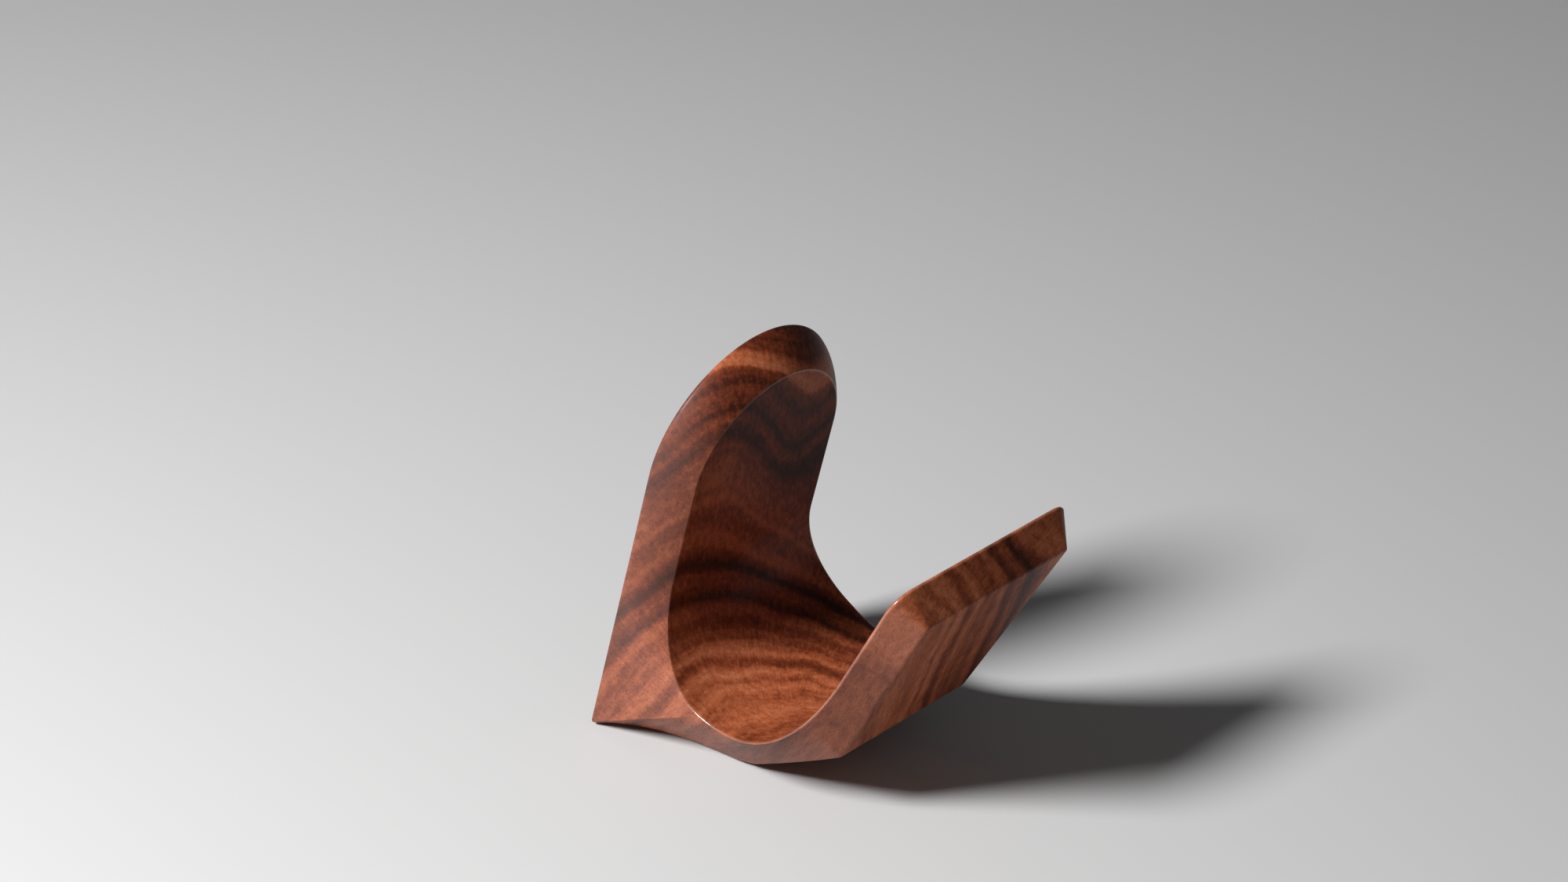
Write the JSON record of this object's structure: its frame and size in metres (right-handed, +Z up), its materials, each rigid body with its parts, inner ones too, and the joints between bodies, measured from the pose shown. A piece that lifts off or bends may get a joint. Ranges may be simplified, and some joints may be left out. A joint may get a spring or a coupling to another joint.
{
  "type": "magnetic phone stand",
  "caption": "Magnetic phone stand carved from one J-shaped block of oiled walnut, with a round soft face on its leaning upright and a scooped arm behind.",
  "frame": {"origin": "on the table, under the middle of the stand's box", "axes": "+Z up, -X towards the phone, Y across the stand"},
  "size_m": [0.112, 0.0684, 0.1156],
  "materials": {
    "walnut": "carved walnut, oiled, satin",
    "pad_rubber": "matt non-slip sheet",
    "cover_leather": "fine-grained, matt",
    "tray_polymer": "moulded, matt",
    "steel": "bright",
    "magnet_nickel": "nickel plated"
  },
  "bodies": {
    "root": {"carved_body": "walnut", "base_pad": "pad_rubber", "cover_disc": "cover_leather", "magnet_tray": "tray_polymer", "steel_ring": "steel", "tray_screw_1": "steel", "tray_screw_2": "steel", "tray_screw_3": "steel", "magnet_01": "magnet_nickel", "magnet_02": "magnet_nickel", "magnet_03": "magnet_nickel", "magnet_04": "magnet_nickel", "magnet_05": "magnet_nickel", "magnet_06": "magnet_nickel", "magnet_07": "magnet_nickel", "magnet_08": "magnet_nickel", "magnet_09": "magnet_nickel", "magnet_10": "magnet_nickel", "magnet_11": "magnet_nickel", "magnet_12": "magnet_nickel", "magnet_13": "magnet_nickel", "magnet_14": "magnet_nickel", "magnet_15": "magnet_nickel", "magnet_16": "magnet_nickel"}
  },
  "joints": []
}
